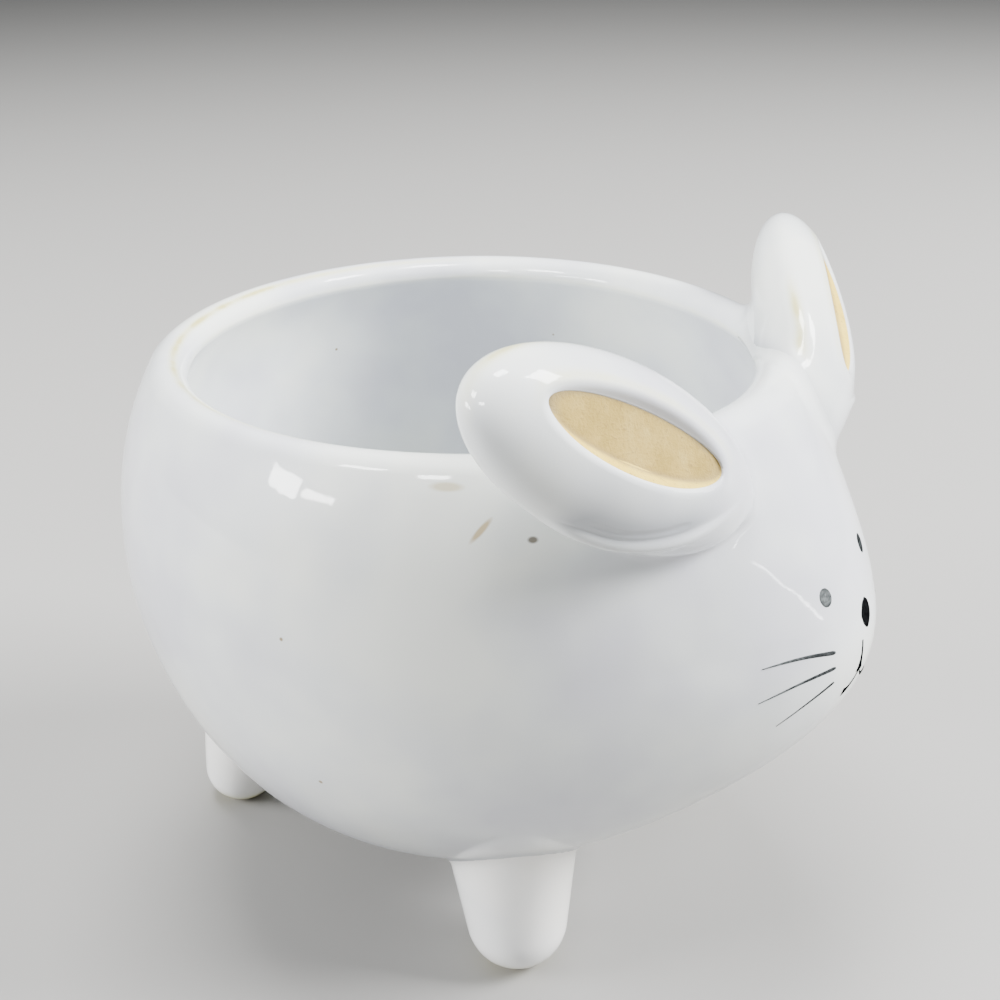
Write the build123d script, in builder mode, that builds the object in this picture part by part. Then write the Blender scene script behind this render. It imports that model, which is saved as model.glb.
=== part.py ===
from build123d import *
import os
from math import atan, cos, degrees, exp, pi, radians, sin, sqrt, tan

# Rabbit shaped planter: a round stoneware pot whose wall bulges into the head, with two solid
# ears and four stub feet luted on. Millimetres, +Z up, face towards -Y, rabbit's left side +X.
# The origin is on the floor, midway between the front of the face and the back of the pot.

os.makedirs("parts", exist_ok=True)

# Pot wall and lip
rim_radius = 59.0
rim_height = 108.0
lip_radius = 3.8
lip_lean = 30
inner_lean = 40
lip_crest_lean = 72
belly_radius = 66.6
belly_height = 77.0
base_radius = 22.0
base_height = 15.2
lower_round_power = 1.84
pot_wall = 5.5
rim_stretch = 2.5
stretch_spread_share = 0.87

# Head, a bulge of the pot wall
head_reach = 15.6
head_height = 65.7
head_rise = 31.4
head_fall = 31.9
head_low_spread_share = 1.38
head_top_spread_share = 0.51
head_round_power = 3.8

# Ears: solid egg shapes with an oval dish in the front, whose floor is bare clay
ear_half_length = 27.3
ear_half_width = 14.0
ear_half_thickness = 8.6
ear_heading = 36.8
ear_stand_out = 5.2
ear_rise = 6.0
dish_half_length = 16.3
dish_half_width = 4.3
dish_floor_height = 6.2
dish_wall_lean = 51
dish_forward = 0.7
dish_up = 1.6
clay_thickness = 0.8
right_ear_swing = 34.3
right_ear_lift = 29.8
right_ear_roll = 62.9
left_ear_swing = 31.6
left_ear_lift = 26.7
left_ear_roll = 65.5
left_ear_drop = 1.8

# Feet: rounded stubs that lean in under the belly
foot_radius = 9.7
rear_foot_radius = 8.2
foot_pad_radius = 3.5
foot_flare = 0.17
foot_lean = 15
front_foot_heading = 46.4
front_foot_distance = 42.9
rear_foot_heading = 158.1
rear_foot_distance = 54.2

# Face: underglaze marks, let into the wall to one depth. Sideways places count from the middle
# of the face, minus being the rabbit's right; heights count from the floor.
mark_depth = 0.45
eye_width = 3.0
eye_height = 3.6
right_eye_out = 10.1
right_eye_up = 82.9
left_eye_out = 6.0
left_eye_up = 85.9
nose_middle = 0.4
nose_up = 76.2
nose_width = 4.6
nose_height = 6.0
mouth_middle = -2.1
mouth_top = 72.2
mouth_fork = 66.6
mouth_drop = 3.0
mouth_half_width = 4.3
mouth_bend_share = 0.8
mouth_stroke = 0.7
right_whisker_root = 10.4
left_whisker_root = 13.0
whisker_stroke = 0.75
whisker_root_up = 73.4
whisker_gap = 2.85
whisker_lengths = (13.0, 13.8, 10.0)
whisker_rise_shares = (0.10, -0.14, -0.50)
whisker_bow_share = 0.05

# How finely the free curves are drawn
ring_points = 36
lower_steps = 10
shoulder_steps = 6
lip_steps = 3
ear_steps = 12

# Worked out from the sizes above
lip_ring = rim_radius - lip_radius
shoulder_end_radius = lip_ring + lip_radius * cos(radians(lip_lean))
shoulder_end_height = rim_height + lip_radius * sin(radians(lip_lean))
lip_top = rim_height + lip_radius
pot_axis_back = head_reach / 2


def rounded(radius, height, low_radius, low_height):
    """Radius of the rounded lower wall: an upright side that rolls in to a flat base."""
    fall = max(0, (belly_height - height) / (belly_height - low_height))
    return low_radius + (radius - low_radius) * (1 - fall**lower_round_power) ** (1 / lower_round_power)


def rolled_in(radius, height, end_radius, end_height, lean):
    """Radius of the shoulder: it leaves the belly upright and ends at the lip on its lean."""
    rise = end_height - belly_height
    share = (height - belly_height) / rise
    blend = 3 * share**2 - 2 * share**3
    return radius + (end_radius - radius) * blend - tan(radians(lean)) * rise * (share**3 - share**2)


def bulge(height, heading, rise, fall):
    """How far the head stands out of the round pot at a height and heading, degrees from the nose."""
    above = height - head_height
    reach = head_reach * exp(-((above / (rise if above > 0 else fall)) ** 2))
    climb = (height - base_height) / (lip_top - base_height)
    spread = head_low_spread_share + (head_top_spread_share - head_low_spread_share) * climb
    return reach * (1 + (2 * sin(radians(heading) / 2) / spread) ** 2) ** -head_round_power


def stretch(height, heading):
    """How far the upper wall is drawn forward, which makes the mouth slightly longer than wide."""
    climb = min(1, max(0, (height - belly_height) / (rim_height - belly_height)))
    return climb * rim_stretch * exp(-((2 * sin(radians(heading) / 2) / stretch_spread_share) ** 4))


def outer_radius(height, heading):
    """Outside of the pot and head, from the pot's axis."""
    if height <= belly_height:
        radius = rounded(belly_radius, height, base_radius, base_height)
    elif height <= shoulder_end_height:
        radius = rolled_in(belly_radius, height, shoulder_end_radius, shoulder_end_height, lip_lean)
    else:
        radius = lip_ring + sqrt(max(0, lip_radius**2 - (height - rim_height) ** 2))
    return radius + bulge(height, heading, head_rise, head_fall) + stretch(height, heading)


def inner_radius(height, heading):
    """Inside of the pot and the hollow of the head, which fades out under the lip."""
    if height >= rim_height:
        radius = lip_ring - sqrt(max(0, lip_radius**2 - (height - rim_height) ** 2))
        return radius + stretch(height, heading)
    if height <= belly_height:
        radius = rounded(belly_radius - pot_wall, height, base_radius, base_height + pot_wall)
    else:
        radius = rolled_in(
            belly_radius - pot_wall, height, lip_ring - lip_radius, rim_height, inner_lean
        )
    hollow = bulge(height, heading, head_rise - pot_wall, head_fall - pot_wall)
    faded = bulge(rim_height, heading, head_rise - pot_wall, head_fall - pot_wall)
    return radius + hollow - faded + stretch(height, heading)


def wall_heights(low_height, lip_start):
    """Heights of the sections: close together where the wall turns, then the arc of the lip."""
    heights = []
    for step in range(lower_steps + 1):
        turn = pi / 2 * step / lower_steps
        heights.append(belly_height - (belly_height - low_height) * cos(turn))
    shoulder_top = rim_height + lip_radius * sin(radians(lip_start))
    for step in range(1, shoulder_steps + 1):
        heights.append(belly_height + (shoulder_top - belly_height) * step / shoulder_steps)
    for step in range(1, lip_steps + 1):
        turn = lip_start + (lip_crest_lean - lip_start) * step / lip_steps
        heights.append(rim_height + lip_radius * sin(radians(turn)))
    return heights


def ring(height, radius_at, inset):
    """Points round the pot at one height, starting at the back, drawn in by an inset."""
    points = []
    for step in range(ring_points):
        heading = 360 * step / ring_points - 180
        radius = radius_at(height, heading) - inset
        turn = radians(heading)
        points.append((radius * sin(turn), pot_axis_back - radius * cos(turn)))
    return points


def section(height, radius_at, inset=0):
    """One closed section of the pot at a height."""
    with BuildSketch(Plane.XY.offset(height)) as drawn:
        with BuildLine():
            Spline(*ring(height, radius_at, inset), periodic=True)
        make_face()
    return drawn.sketch


# Pot: first its outside as a full form, which also shapes what is luted to it
with BuildPart() as pot_form:
    loft(sections=[section(height, outer_radius) for height in wall_heights(base_height, lip_lean)])

# The same outside drawn in by the depth of the painted marks, over the face alone
with BuildPart() as under_marks:
    levels = [head_height - head_fall]
    for step in range(lower_steps):
        levels.append(levels[-1] + (head_rise + head_fall) / lower_steps)
    loft(sections=[section(height, outer_radius, mark_depth) for height in levels])


def stroke(start, end, bow, width):
    """A brush stroke pointed at both ends: two curves a stroke's width apart at the middle."""
    middle = (start + end) / 2
    side = (end - start).normalized().rotate(Axis.Z, 90)
    Spline(start, middle + side * (bow + width / 2), end)
    Spline(end, middle + side * (bow - width / 2), start)


def print_on_face():
    """Cuts the mark being built down to the thin inlay that follows the outside of the pot."""
    add(pot_form.part, mode=Mode.INTERSECT)
    add(under_marks.part, mode=Mode.SUBTRACT)


face_plane = Plane(origin=(0, -belly_radius - head_reach, 0), x_dir=(1, 0, 0), z_dir=(0, -1, 0))
mark_reach = belly_radius

# Eyes: small upright ovals
eyes = []
for name, out, up in (
    ("eye_right", -right_eye_out, right_eye_up),
    ("eye_left", left_eye_out, left_eye_up),
):
    with BuildPart() as eye:
        with BuildSketch(face_plane):
            with Locations((out, up)):
                Ellipse(eye_width / 2, eye_height / 2)
        extrude(amount=-mark_reach)
        print_on_face()
    eye.part.label = name
    eyes.append(eye.part)

# Nose: a leaf with its points at the top and the bottom
with BuildPart() as nose:
    with BuildSketch(face_plane):
        with BuildLine():
            top = Vector(nose_middle, nose_up + nose_height / 2)
            bottom = Vector(nose_middle, nose_up - nose_height / 2)
            Spline(top, Vector(nose_middle + nose_width / 2, nose_up), bottom)
            Spline(bottom, Vector(nose_middle - nose_width / 2, nose_up), top)
        make_face()
    extrude(amount=-mark_reach)
    print_on_face()
nose.part.label = "nose"

# Mouth: a short line down to a fork, and a curve to each side
with BuildPart() as mouth:
    with BuildSketch(face_plane):
        with BuildLine():
            Line((mouth_middle, mouth_top), (mouth_middle, mouth_fork))
        trace(line_width=mouth_stroke)
        for side in (-1, 1):
            bend = mouth_fork - mouth_drop * mouth_bend_share
            with BuildLine():
                Spline(
                    (mouth_middle, mouth_fork + mouth_stroke / 2),
                    (mouth_middle + side * mouth_half_width / 2, bend),
                    (mouth_middle + side * mouth_half_width, mouth_fork - mouth_drop),
                )
            trace(line_width=mouth_stroke)
    extrude(amount=-mark_reach)
    print_on_face()
mouth.part.label = "mouth"

# Whiskers: three pointed strokes on each cheek
whiskers = []
for name, side, root in (
    ("whiskers_right", -1, right_whisker_root),
    ("whiskers_left", 1, left_whisker_root),
):
    with BuildPart() as whisker_set:
        with BuildSketch(face_plane):
            for row in range(len(whisker_lengths)):
                start = Vector(side * root, whisker_root_up - row * whisker_gap)
                length = whisker_lengths[row]
                end = start + Vector(side * length, length * whisker_rise_shares[row])
                with BuildLine():
                    stroke(start, end, side * length * whisker_bow_share, whisker_stroke)
                make_face()
        extrude(amount=-mark_reach)
        print_on_face()
    whisker_set.part.label = name
    whiskers.append(whisker_set.part)

marks = [*eyes, nose.part, mouth.part, *whiskers]

# Pot body: the form hollowed out to an even wall, with the marks' places cut in
with BuildPart() as pot_body:
    add(pot_form.part)
    levels = wall_heights(base_height + pot_wall, 0)
    loft(sections=[section(height, inner_radius) for height in levels], mode=Mode.SUBTRACT)
    add(marks, mode=Mode.SUBTRACT)
pot_body.part.label = "pot_body"


def oval(plane, half_length, half_width):
    """A filled ellipse on a plane, for lofting."""
    with BuildSketch(plane) as drawn:
        Ellipse(half_length, half_width)
    return drawn.sketch


# Ears: each is luted to the shoulder beside the head, the left one a little lower. The inner ear
# is a thin slab of bare clay, let in to the floor of the dish.
ears = []
inner_ears = []
for name, side, swing, lift, roll, drop in (
    ("right", -1, right_ear_swing, right_ear_lift, right_ear_roll, 0),
    ("left", 1, left_ear_swing, left_ear_lift, left_ear_roll, left_ear_drop),
):
    long_way = Vector(
        side * cos(radians(lift)) * cos(radians(swing)),
        cos(radians(lift)) * sin(radians(swing)),
        sin(radians(lift)),
    )
    level_way = long_way.cross(Vector(0, 0, side)).normalized()
    upper_way = level_way.cross(long_way) * side
    facing = upper_way * cos(radians(roll)) + level_way * sin(radians(roll))
    cross_way = facing.cross(long_way) * side
    seat_distance = rim_radius + ear_stand_out
    middle = Vector(
        side * seat_distance * sin(radians(ear_heading)),
        pot_axis_back - seat_distance * cos(radians(ear_heading)),
        rim_height + ear_rise - drop,
    )
    floor_middle = middle + long_way * dish_forward + cross_way * dish_up + facing * dish_floor_height
    dish_plane = Plane(origin=floor_middle, x_dir=long_way, z_dir=facing)
    dish_depth = ear_half_thickness - dish_floor_height / 2
    dish_spread = dish_depth * tan(radians(dish_wall_lean))
    with BuildPart() as ear:
        slices = []
        for step in range(1, ear_steps):
            turn = pi * step / ear_steps
            centre = middle - long_way * ear_half_length * cos(turn)
            across_ear = Plane(origin=centre, x_dir=cross_way, z_dir=long_way)
            slices.append(
                oval(across_ear, ear_half_width * sin(turn), ear_half_thickness * sin(turn))
            )
        root = middle - long_way * ear_half_length
        tip = middle + long_way * ear_half_length
        loft(sections=[Vertex(*root), *slices, Vertex(*tip)])
        add(pot_form.part, mode=Mode.SUBTRACT)
        loft(
            sections=[
                oval(dish_plane, dish_half_length, dish_half_width),
                oval(
                    dish_plane.offset(dish_depth),
                    dish_half_length + dish_spread,
                    dish_half_width + dish_spread,
                ),
            ],
            mode=Mode.SUBTRACT,
        )
        with BuildSketch(dish_plane.offset(-clay_thickness)):
            Ellipse(dish_half_length, dish_half_width)
        extrude(amount=clay_thickness, mode=Mode.SUBTRACT)
    with BuildPart() as inner_ear:
        with BuildSketch(dish_plane.offset(-clay_thickness)):
            Ellipse(dish_half_length, dish_half_width)
        extrude(amount=clay_thickness)
    ear.part.label = "ear_" + name
    inner_ear.part.label = "inner_ear_" + name
    ears.append(ear.part)
    inner_ears.append(inner_ear.part)


def foot_profile(radius):
    """Half outline of a foot on its own axis: a round tip that runs on into a widening cone."""
    turn = atan(foot_flare)
    side_end = radius / cos(turn) + foot_flare * belly_height
    CenterArc(center=(0, 0), radius=radius, start_angle=-90, arc_size=90 - degrees(turn))
    Polyline(
        (radius * cos(turn), -radius * sin(turn)),
        (side_end, belly_height),
        (0, belly_height),
        (0, -radius),
    )


# Feet: each leans in under the belly, is wiped flat where it stands, and is luted on above
feet = []
for name, side, heading, distance, radius in (
    ("foot_front_right", -1, front_foot_heading, front_foot_distance, foot_radius),
    ("foot_front_left", 1, front_foot_heading, front_foot_distance, foot_radius),
    ("foot_rear_right", -1, rear_foot_heading, rear_foot_distance, rear_foot_radius),
    ("foot_rear_left", 1, rear_foot_heading, rear_foot_distance, rear_foot_radius),
):
    outward = Vector(side * sin(radians(heading)), -cos(radians(heading)), 0)
    tip_height = sqrt(radius**2 - foot_pad_radius**2)
    tip = outward * distance + Vector(0, pot_axis_back, tip_height)
    upright = (Vector(0, 0, 1) - outward * tan(radians(foot_lean))).normalized()
    across = Vector(0, 0, 1).cross(outward)
    with BuildPart() as foot:
        with BuildSketch(Plane(origin=tip, x_dir=across, z_dir=across.cross(upright))):
            with BuildLine():
                foot_profile(radius)
            make_face()
        revolve(axis=Axis(tip, upright))
        split(bisect_by=Plane.XY)
        add(pot_form.part, mode=Mode.SUBTRACT)
    foot.part.label = name
    feet.append(foot.part)

for piece in [pot_body.part, *ears, *inner_ears, *marks, *feet]:
    export_step(piece, "parts/" + piece.label + ".step")
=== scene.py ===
import bpy
import numpy as np
from mathutils import Matrix


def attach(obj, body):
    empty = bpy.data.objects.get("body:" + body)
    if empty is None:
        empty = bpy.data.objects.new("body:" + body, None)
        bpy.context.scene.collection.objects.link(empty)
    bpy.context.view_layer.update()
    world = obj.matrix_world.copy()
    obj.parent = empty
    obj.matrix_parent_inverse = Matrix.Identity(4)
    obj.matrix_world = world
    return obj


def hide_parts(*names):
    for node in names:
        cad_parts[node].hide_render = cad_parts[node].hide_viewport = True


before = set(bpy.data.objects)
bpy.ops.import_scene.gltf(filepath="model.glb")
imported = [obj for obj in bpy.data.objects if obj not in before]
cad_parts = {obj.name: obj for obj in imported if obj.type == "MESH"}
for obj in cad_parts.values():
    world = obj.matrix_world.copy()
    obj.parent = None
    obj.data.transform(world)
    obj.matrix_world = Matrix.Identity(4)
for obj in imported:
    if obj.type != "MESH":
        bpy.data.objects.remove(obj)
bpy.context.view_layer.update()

# The pot: a slip-cast stoneware wall, round in plan, whose front bulges into the rabbit's head.
# The lip is a full round bead, sharp on the inside where the wall falls away under it. It was
# dipped in a milky white glaze that breaks to cream where it runs thin over the edges.
mm = 0.001
rim_radius = 59.0 * mm
rim_height = 108.0 * mm
lip_radius = 3.8 * mm
lip_lean = np.radians(30)
inner_lean = np.radians(40)
belly_radius = 66.6 * mm
belly_height = 77.0 * mm
base_radius = 22.0 * mm
base_height = 15.2 * mm
lower_power = 1.84
pot_wall = 5.5 * mm
rim_stretch = 2.5 * mm
stretch_spread = 0.87
head_reach = 15.6 * mm
head_height = 65.7 * mm
head_rise = 31.4 * mm
head_fall = 31.9 * mm
head_low_spread = 1.38
head_top_spread = 0.51
head_power = 3.8
pot_axis = head_reach / 2
lip_ring = rim_radius - lip_radius
lip_top = rim_height + lip_radius
shoulder_radius = lip_ring + lip_radius * np.cos(lip_lean)
shoulder_top = rim_height + lip_radius * np.sin(lip_lean)
floor_height = base_height + pot_wall


def bell(away, width):
    """A bell curve: one in its middle, and e to the minus square of the distance in widths."""
    return np.exp(-((away / width) ** 2))


def eased(share):
    """Eases a share in and out, level at both ends: thrice its square less twice its cube."""
    return share**2 * (3 - 2 * share)


def head_bulge(height, heading, rise, fall):
    """Stand-out of the head: a bell curve over the height, times a wider bell round the pot."""
    above = height - head_height
    reach = head_reach * bell(above, np.where(above > 0, rise, fall))
    climb = np.clip((height - base_height) / (lip_top - base_height), 0, 1)
    spread = head_low_spread + (head_top_spread - head_low_spread) * climb
    return reach * (1 + (2 * np.sin(heading / 2) / spread) ** 2) ** -head_power


def rim_reach(height, heading):
    """Forward stretch of the upper wall, which grows from the belly up to the rim."""
    climb = np.clip((height - belly_height) / (rim_height - belly_height), 0, 1)
    return climb * rim_stretch * np.exp(-((2 * np.sin(heading / 2) / stretch_spread) ** 4))


def rolled_in(height, radius, end_radius, end_height, lean):
    """A shoulder curve, upright at the belly, that reaches its end radius on a given lean."""
    rise = end_height - belly_height
    share = np.clip((height - belly_height) / rise, 0, 1)
    leaning = np.tan(lean) * rise * (share**3 - share**2)
    return radius + (end_radius - radius) * eased(share) - leaning


def outside_radius(height, heading):
    """Outside of pot and head from the pot's axis: superellipse below the belly, shoulder and
    lip above it, plus the head and the stretch."""
    fall = np.clip((belly_height - height) / (belly_height - base_height), 0, 1)
    lower = base_radius + (belly_radius - base_radius) * (1 - fall**lower_power) ** (1 / lower_power)
    upper = rolled_in(height, belly_radius, shoulder_radius, shoulder_top, lip_lean)
    bead = lip_ring + np.sqrt(np.clip(lip_radius**2 - (height - rim_height) ** 2, 0, None))
    radius = np.where(height <= belly_height, lower, np.where(height <= shoulder_top, upper, bead))
    return radius + head_bulge(height, heading, head_rise, head_fall) + rim_reach(height, heading)


def pot_point(radius, height, heading):
    """A point of the pot: heading 0 is the nose, and grows towards the rabbit's left."""
    across = radius * np.sin(heading)
    along = pot_axis - radius * np.cos(heading)
    return np.stack([across, along, height + 0 * radius], -1)


def pot_skin_rows(around):
    """Rows of the pot's skin from the middle of its underside, up the outside, over the lip,
    down the inside and in to the middle of its floor. The columns stand closest, by a bell
    curve of the heading, where the ears are luted on."""
    even = np.linspace(-np.pi, np.pi, 2000)
    closer, joint_heading, joint_width = 1.6, 0.6, 0.48
    crowd = np.cumsum(1 + closer * bell(np.abs(even) - joint_heading, joint_width))
    steps = np.linspace(crowd[0], crowd[-1], around, endpoint=False)
    heading = np.interp(steps, crowd, even)[None, :]
    flat = np.linspace(0.08, 1, 8)[:, None]
    under = pot_point(base_radius * flat + 0 * heading, base_height, heading)
    turn = np.linspace(0, np.pi / 2, 70)[1:, None]
    low = belly_height - (belly_height - base_height) * np.cos(turn)
    side = pot_point(outside_radius(low, heading), low, heading)
    high = np.linspace(belly_height, shoulder_top, 62)[1:, None]
    shoulder = pot_point(outside_radius(high, heading), high, heading)
    roll = np.linspace(lip_lean, np.pi, 32)[1:, None]
    fade = 1 - eased((roll - lip_lean) / (np.pi - lip_lean))
    bead_height = rim_height + lip_radius * np.sin(roll)
    bead_radius = lip_ring + lip_radius * np.cos(roll) + rim_reach(bead_height, heading)
    bead_radius = bead_radius + head_bulge(bead_height, heading, head_rise, head_fall) * fade
    bead = pot_point(bead_radius, bead_height, heading)
    down = np.linspace(rim_height, belly_height, 26)[1:, None]
    inner_shoulder = rolled_in(
        down, belly_radius - pot_wall, lip_ring - lip_radius, rim_height, inner_lean
    )
    turn = np.linspace(np.pi / 2, 0, 34)[1:, None]
    deep = belly_height - (belly_height - floor_height) * np.cos(turn)
    fall = (belly_height - deep) / (belly_height - floor_height)
    bowl = belly_radius - pot_wall - base_radius
    inner_bowl = base_radius + bowl * (1 - fall**lower_power) ** (1 / lower_power)
    inside_height = np.vstack([down, deep])
    inner_rise, inner_fall = head_rise - pot_wall, head_fall - pot_wall
    hollow = head_bulge(inside_height, heading, inner_rise, inner_fall)
    hollow = hollow - head_bulge(rim_height, heading, inner_rise, inner_fall)
    inside_radius = np.vstack([inner_shoulder, inner_bowl]) + hollow
    inside = pot_point(inside_radius + rim_reach(inside_height, heading), inside_height, heading)
    well = pot_point(base_radius * flat[::-1][1:] + 0 * heading, floor_height, heading)
    return np.concatenate([under, side, shoulder, bead, inside, well])


def closed_skin(name, shells):
    """One mesh of closed shells. In a shell each row of points runs round the piece and is joined
    to the next by quads, and fans close the first and the last row on two poles. A shell whose
    volume comes out negative is turned, so that its faces point outwards."""
    points, faces, base = [], [], 0
    for rows, first_pole, last_pole in shells:
        count, around = rows.shape[:2]
        own = np.vstack([rows.reshape(-1, 3), first_pole, last_pole])
        row, column = np.meshgrid(np.arange(count - 1), np.arange(around), indexing="ij")
        here = (row * around + column).ravel()
        beside = (row * around + (column + 1) % around).ravel()
        quads = np.stack([here, beside, beside + around, here + around], -1)
        ring = np.arange(around)
        after = (ring + 1) % around
        last = (count - 1) * around
        pole = np.full(around, count * around)
        fans = np.vstack([
            np.stack([after, ring, pole], -1), np.stack([last + ring, last + after, pole + 1], -1)
        ])
        thirds = np.vstack([quads[:, [0, 1, 2]], quads[:, [0, 2, 3]], fans])
        one, two, three = (own[thirds[:, at]] - own.mean(0) for at in range(3))
        if np.einsum("ij,ij->", one, np.cross(two, three)) < 0:
            quads, fans = quads[:, ::-1], fans[:, ::-1]
        points.append(own)
        faces += (quads + base).tolist() + (fans + base).tolist()
        base += len(own)
    mesh = bpy.data.meshes.new(name)
    mesh.from_pydata(np.vstack(points).tolist(), [], faces)
    mesh.polygons.foreach_set("use_smooth", np.ones(len(mesh.polygons), bool))
    mesh.update()
    piece = bpy.data.objects.new(name, mesh)
    bpy.context.scene.collection.objects.link(piece)
    return piece


def point_values(piece, name, values):
    """Writes one number per point of a piece, such as how thin the glaze lies there."""
    layer = piece.data.attributes.new(name, "FLOAT", "POINT")
    layer.data.foreach_set("value", np.asarray(values, np.float32))


def linear(hex_colour):
    """An sRGB hex colour as linear red, green, blue and full alpha."""
    shares = np.array([int(hex_colour[at:at + 2], 16) for at in (1, 3, 5)]) / 255
    values = np.where(shares <= 0.04045, shares / 12.92, ((shares + 0.055) / 1.055) ** 2.4)
    return (*values.tolist(), 1.0)


def node(tree, kind, links=None, **settings):
    """Adds a node of a kind: settings fill its properties or inputs, links feed its inputs."""
    made = tree.nodes.new(kind)
    for key, value in settings.items():
        if hasattr(made, key):
            setattr(made, key, value)
        else:
            made.inputs[key.replace("_", " ")].default_value = value
    for key, source in (links or {}).items():
        tree.links.new(source, made.inputs[key])
    return made


def ramp(tree, source, stops):
    """A colour ramp of (place, hex colour) stops, fed by a value."""
    made = node(tree, "ShaderNodeValToRGB", {"Fac": source})
    band = made.color_ramp
    while len(band.elements) < len(stops):
        band.elements.new(0.5)
    for element, (place, colour) in zip(band.elements, stops):
        element.position = place
        element.color = linear(colour)
    return made.outputs["Color"]


# Flaws of the pot's right shoulder: a slit where the glaze crawled off the clay, a pinhole with a
# dark floor and a tan patch. Each has its place, half sizes, rise and heading in radians, and
# colour.
flaws = (
    (np.array([-51.05, -28.5, 102.6]) * mm, (2.6 * mm, 0.55 * mm, 0.55 * mm), 0.766, -0.62, "#B7A37A"),
    (np.array([-47.05, -35.12, 101.03]) * mm, (0.9 * mm, 0.6 * mm, 0.6 * mm), 0.0, -1.0, "#5A5140"),
    (np.array([-51.3, -22.7, 108.5]) * mm, (2.8 * mm, 0.8 * mm, 0.8 * mm), 0.0, -1.1, "#CBC3A6"),
)


def milky_glaze(name, clouds):
    """Milky white stoneware glaze over buff clay, dipped and fired to a soft gloss. It clouds
    blue-grey where it pools thick and where painted shade is laid on, breaks to cream and buff
    where it thins over an edge, and has the slow ripple and the few pinholes of a hand-dipped
    coat. Clouds are its whites."""
    material = bpy.data.materials.new(name)
    material.use_nodes = True
    tree = material.node_tree
    shader = tree.nodes["Principled BSDF"]
    place = node(tree, "ShaderNodeTexCoord").outputs["Object"]
    cloud_width = 38 * mm
    cloud = node(
        tree, "ShaderNodeTexNoise", {"Vector": place},
        Scale=1 / cloud_width, Detail=3.0, Roughness=0.5,
    ).outputs["Fac"]
    white = ramp(tree, cloud, tuple(zip((0.38, 0.50, 0.62), clouds)))
    thin = node(tree, "ShaderNodeAttribute", attribute_name="thin").outputs["Fac"]
    break_width = 7 * mm
    breaking = node(
        tree, "ShaderNodeTexNoise", {"Vector": place},
        Scale=1 / break_width, Detail=4.0, Roughness=0.6,
    ).outputs["Fac"]
    uneven = node(
        tree, "ShaderNodeMapRange", {"Value": breaking},
        From_Min=0.36, From_Max=0.62, To_Min=0.72, To_Max=1.1,
    ).outputs["Result"]
    thinness = node(
        tree, "ShaderNodeMath", {0: thin, 1: uneven}, operation="MULTIPLY", use_clamp=True
    ).outputs[0]
    # Below nought the thin value turns the glaze blue-grey: pooling in the dish, and painted shade in the
    # joints, the ears' creases and lower fronts and the pot's lower wall.
    pool_and_shade = node(
        tree, "ShaderNodeMapRange", {"Value": thin}, From_Min=0.0, From_Max=-1.0, To_Max=0.8
    ).outputs["Result"]
    deep = node(tree, "ShaderNodeMix", {0: pool_and_shade, 6: white}, data_type="RGBA")
    deep.inputs[7].default_value = linear("#8D9199")
    cream = ramp(tree, thinness, ((0.0, "#E8EAD9"), (0.5, "#DEDDB2"), (0.9, "#C9BF7C")))
    cover = node(
        tree, "ShaderNodeMapRange", {"Value": thinness}, From_Min=0.05, From_Max=0.7
    ).outputs["Result"]
    base = node(
        tree, "ShaderNodeMix", {0: cover, 6: deep.outputs[2], 7: cream}, data_type="RGBA"
    )
    colour = base.outputs[2]
    pinhole_spacing = 16 * mm
    specks = node(
        tree, "ShaderNodeTexVoronoi", {"Vector": place}, Scale=1 / pinhole_spacing, Randomness=1.0
    ).outputs["Distance"]
    pinhole = node(
        tree, "ShaderNodeMapRange", {"Value": specks},
        From_Min=0.018, From_Max=0.03, To_Min=1.0, To_Max=0.0,
    ).outputs["Result"]
    spotted = node(tree, "ShaderNodeMix", {0: pinhole, 6: colour}, data_type="RGBA")
    spotted.inputs[7].default_value = linear("#8C7C5C")
    for spot, half_sizes, lift, heading, stain in flaws:
        around = node(
            tree, "ShaderNodeMapping", {"Vector": place}, vector_type="TEXTURE",
            Location=spot, Rotation=(0, -lift, heading), Scale=half_sizes,
        ).outputs["Vector"]
        from_middle = node(tree, "ShaderNodeVectorMath", {0: around}, operation="LENGTH").outputs["Value"]
        cover = node(
            tree, "ShaderNodeMapRange", {"Value": from_middle},
            From_Min=0.6, From_Max=1.1, To_Min=0.9, To_Max=0.0,
        ).outputs["Result"]
        spotted = node(tree, "ShaderNodeMix", {0: cover, 6: spotted.outputs[2]}, data_type="RGBA")
        spotted.inputs[7].default_value = linear(stain)
    tree.links.new(spotted.outputs[2], shader.inputs["Base Color"])
    ripple_width = 17 * mm
    ripple = node(
        tree, "ShaderNodeTexNoise", {"Vector": place}, Scale=1 / ripple_width, Detail=1.5
    ).outputs["Fac"]
    peel_width = 1.6 * mm
    peel = node(
        tree, "ShaderNodeTexNoise", {"Vector": place}, Scale=1 / peel_width, Detail=1.0
    ).outputs["Fac"]
    fine = node(tree, "ShaderNodeBump", {"Height": peel}, Strength=0.06, Distance=0.2 * mm)
    soft = node(
        tree, "ShaderNodeBump", {"Height": ripple, "Normal": fine.outputs["Normal"]},
        Strength=0.35, Distance=1.2 * mm,
    )
    tree.links.new(soft.outputs["Normal"], shader.inputs["Normal"])
    tree.links.new(soft.outputs["Normal"], shader.inputs["Coat Normal"])
    shader.inputs["Roughness"].default_value = 0.42
    shader.inputs["IOR"].default_value = 1.5
    shader.inputs["Coat Weight"].default_value = 0.9
    shader.inputs["Coat Roughness"].default_value = 0.05
    shader.inputs["Coat IOR"].default_value = 1.48
    return material


body_glaze = milky_glaze("milky_stoneware_glaze", ("#CED0D7", "#DDE1E2", "#EAEDE8"))
pot_columns = 416
pot_rows = pot_skin_rows(pot_columns)
underside = (0, pot_axis, base_height)
pot_floor = (0, pot_axis, floor_height)
pot = closed_skin("glazed_pot", [(pot_rows, underside, pot_floor)])
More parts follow.
